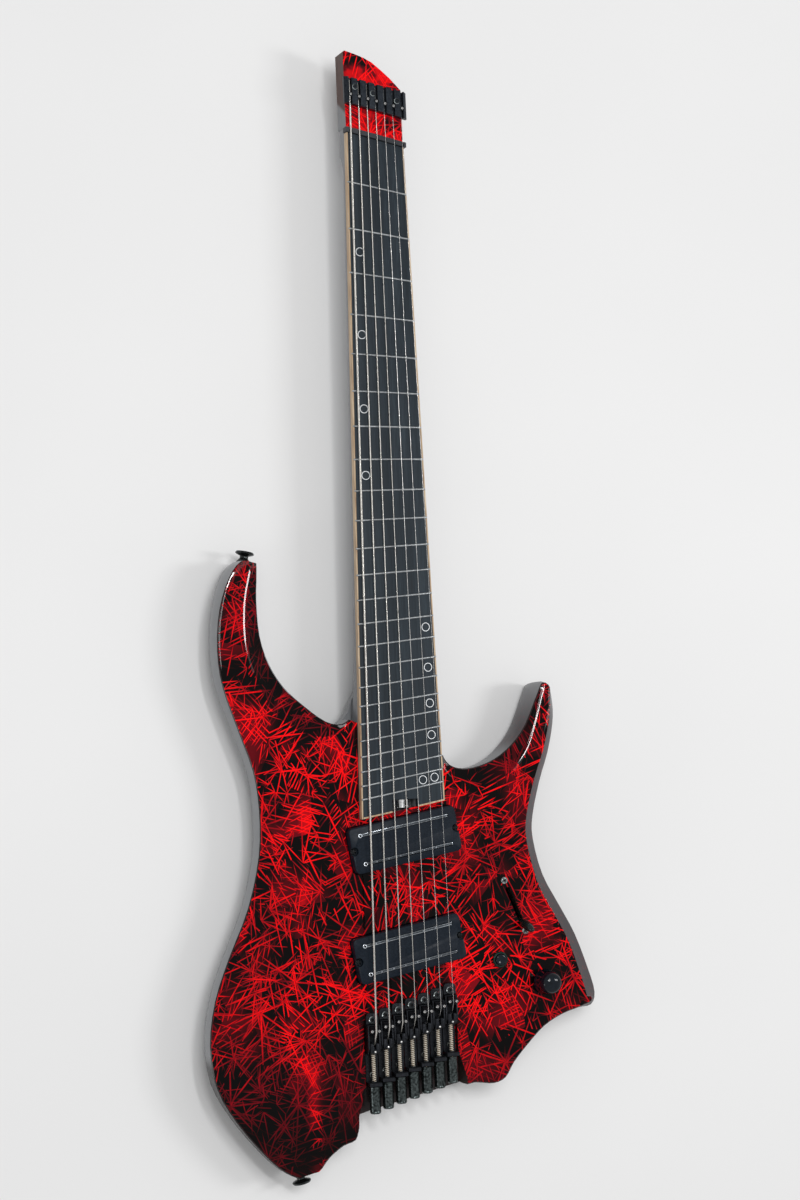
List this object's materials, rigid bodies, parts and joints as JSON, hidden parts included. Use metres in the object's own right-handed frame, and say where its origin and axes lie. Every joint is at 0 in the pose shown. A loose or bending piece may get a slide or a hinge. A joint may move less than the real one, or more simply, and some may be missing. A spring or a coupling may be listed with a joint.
{
  "type": "electric guitar",
  "caption": "Headless electric guitar with a carved two-horn body, fanned frets, single-string bridge units, twin rail pickups and a blade switch.",
  "frame": {"origin": "on the flat back of the body, midway between the pickups on the strings' centre line", "axes": "+X towards the treble side, +Y along the strings towards the headpiece, +Z out of the front"},
  "size_m": [0.3148, 0.8543, 0.0595],
  "materials": {
    "front_lacquer": "black and red crackle lacquer under a clear gloss coat",
    "neck_lacquer": "satin lacquer",
    "ebony": "oiled dark wood with bright frets",
    "dark_bone": "satin",
    "black_metal": "black plated, satin",
    "rod_steel": "bright threaded rod",
    "string_steel": "plain and wound steel",
    "black_polymer": "satin cover",
    "gloss_black": "gloss",
    "plated_steel": "bright plated",
    "cover_polymer": "matte"
  },
  "bodies": {
    "guitar": {"body": "front_lacquer", "bridge_base_1": "black_metal", "bridge_base_2": "black_metal", "bridge_base_3": "black_metal", "bridge_base_4": "black_metal", "bridge_base_5": "black_metal", "bridge_base_6": "black_metal", "bridge_base_7": "black_metal", "bridge_pickup": "black_polymer", "button_housing": "plated_steel", "control_cover": "cover_polymer", "fretboard": "ebony", "neck": "neck_lacquer", "neck_pickup": "black_polymer", "nut": "dark_bone", "output_jack": "plated_steel", "pickup_switch": "plated_steel", "saddle_1": "black_metal", "saddle_2": "black_metal", "saddle_3": "black_metal", "saddle_4": "black_metal", "saddle_5": "black_metal", "saddle_6": "black_metal", "saddle_7": "black_metal", "strap_button_lower": "plated_steel", "strap_button_upper": "plated_steel", "string_1": "string_steel", "string_2": "string_steel", "string_3": "string_steel", "string_4": "string_steel", "string_5": "string_steel", "string_6": "string_steel", "string_7": "string_steel", "string_clamp_1": "black_metal", "string_clamp_2": "black_metal", "string_clamp_3": "black_metal", "string_clamp_4": "black_metal", "string_clamp_5": "black_metal", "string_clamp_6": "black_metal", "string_clamp_7": "black_metal", "string_lock": "black_metal", "volume_pot": "plated_steel"},
    "volume": {"volume_knob": "gloss_black"},
    "button": {"push_button": "gloss_black"},
    "lever": {"switch_lever": "plated_steel"},
    "truss": {"truss_wheel": "plated_steel"},
    "tuner_1": {"tuner_knob_1": "black_metal"},
    "carriage_1": {"carriage_1": "rod_steel"},
    "tuner_2": {"tuner_knob_2": "black_metal"},
    "carriage_2": {"carriage_2": "rod_steel"},
    "tuner_3": {"tuner_knob_3": "black_metal"},
    "carriage_3": {"carriage_3": "rod_steel"},
    "tuner_4": {"tuner_knob_4": "black_metal"},
    "carriage_4": {"carriage_4": "rod_steel"},
    "tuner_5": {"tuner_knob_5": "black_metal"},
    "carriage_5": {"carriage_5": "rod_steel"},
    "tuner_6": {"tuner_knob_6": "black_metal"},
    "carriage_6": {"carriage_6": "rod_steel"},
    "tuner_7": {"tuner_knob_7": "black_metal"},
    "carriage_7": {"carriage_7": "rod_steel"}
  },
  "joints": [
    {"name": "tuner_1_turn", "type": "hinge", "parent": "guitar", "child": "tuner_1", "pos_m": [-0.0315, -0.13876, 0.0425], "axis": [0, -1, 0], "range_deg": [-1260, 1260]},
    {"name": "carriage_1_slide", "type": "slide", "parent": "guitar", "child": "carriage_1", "axis": [0, -1, 0], "range_m": [-0.00245, 0.00245]},
    {"name": "tuner_2_turn", "type": "hinge", "parent": "guitar", "child": "tuner_2", "pos_m": [-0.021, -0.13588, 0.0425], "axis": [0, -1, 0], "range_deg": [-1260, 1260]},
    {"name": "carriage_2_slide", "type": "slide", "parent": "guitar", "child": "carriage_2", "axis": [0, -1, 0], "range_m": [-0.00245, 0.00245]},
    {"name": "tuner_3_turn", "type": "hinge", "parent": "guitar", "child": "tuner_3", "pos_m": [-0.0105, -0.13299, 0.0425], "axis": [0, -1, 0], "range_deg": [-1260, 1260]},
    {"name": "carriage_3_slide", "type": "slide", "parent": "guitar", "child": "carriage_3", "axis": [0, -1, 0], "range_m": [-0.00245, 0.00245]},
    {"name": "tuner_4_turn", "type": "hinge", "parent": "guitar", "child": "tuner_4", "pos_m": [0, -0.1301, 0.0425], "axis": [0, -1, 0], "range_deg": [-1260, 1260]},
    {"name": "carriage_4_slide", "type": "slide", "parent": "guitar", "child": "carriage_4", "axis": [0, -1, 0], "range_m": [-0.00245, 0.00245]},
    {"name": "tuner_5_turn", "type": "hinge", "parent": "guitar", "child": "tuner_5", "pos_m": [0.0105, -0.12721, 0.0425], "axis": [0, -1, 0], "range_deg": [-1260, 1260]},
    {"name": "carriage_5_slide", "type": "slide", "parent": "guitar", "child": "carriage_5", "axis": [0, -1, 0], "range_m": [-0.00245, 0.00245]},
    {"name": "tuner_6_turn", "type": "hinge", "parent": "guitar", "child": "tuner_6", "pos_m": [0.021, -0.12432, 0.0425], "axis": [0, -1, 0], "range_deg": [-1260, 1260]},
    {"name": "carriage_6_slide", "type": "slide", "parent": "guitar", "child": "carriage_6", "axis": [0, -1, 0], "range_m": [-0.00245, 0.00245]},
    {"name": "tuner_7_turn", "type": "hinge", "parent": "guitar", "child": "tuner_7", "pos_m": [0.0315, -0.12144, 0.0425], "axis": [0, -1, 0], "range_deg": [-1260, 1260]},
    {"name": "carriage_7_slide", "type": "slide", "parent": "guitar", "child": "carriage_7", "axis": [0, -1, 0], "range_m": [-0.00245, 0.00245]},
    {"name": "volume_turn", "type": "hinge", "parent": "guitar", "child": "volume", "pos_m": [0.111, -0.0715, 0.041], "axis": [0, 0, 1], "range_deg": [-150, 150]},
    {"name": "button_press", "type": "slide", "parent": "guitar", "child": "button", "axis": [0, 0, -1], "range_m": [0, 0.0015], "stiffness_N_per_m": 500, "springref_m": -0.001},
    {"name": "switch_swing", "type": "hinge", "parent": "guitar", "child": "lever", "pos_m": [0.0892, -0.0118, 0.014], "axis": [0.9285, 0.3714, 0], "range_deg": [-50, 0]},
    {"name": "truss_turn", "type": "hinge", "parent": "guitar", "child": "truss", "pos_m": [0.001, 0.0683, 0.0385], "axis": [0, 1, 0], "range_deg": [-180, 180]}
  ],
  "couplings": [
    {"joint": "tuner_1_turn", "follows": "carriage_1_slide", "rad_per_m": 8976},
    {"joint": "tuner_2_turn", "follows": "carriage_2_slide", "rad_per_m": 8976},
    {"joint": "tuner_3_turn", "follows": "carriage_3_slide", "rad_per_m": 8976},
    {"joint": "tuner_4_turn", "follows": "carriage_4_slide", "rad_per_m": 8976},
    {"joint": "tuner_5_turn", "follows": "carriage_5_slide", "rad_per_m": 8976},
    {"joint": "tuner_6_turn", "follows": "carriage_6_slide", "rad_per_m": 8976},
    {"joint": "tuner_7_turn", "follows": "carriage_7_slide", "rad_per_m": 8976}
  ]
}
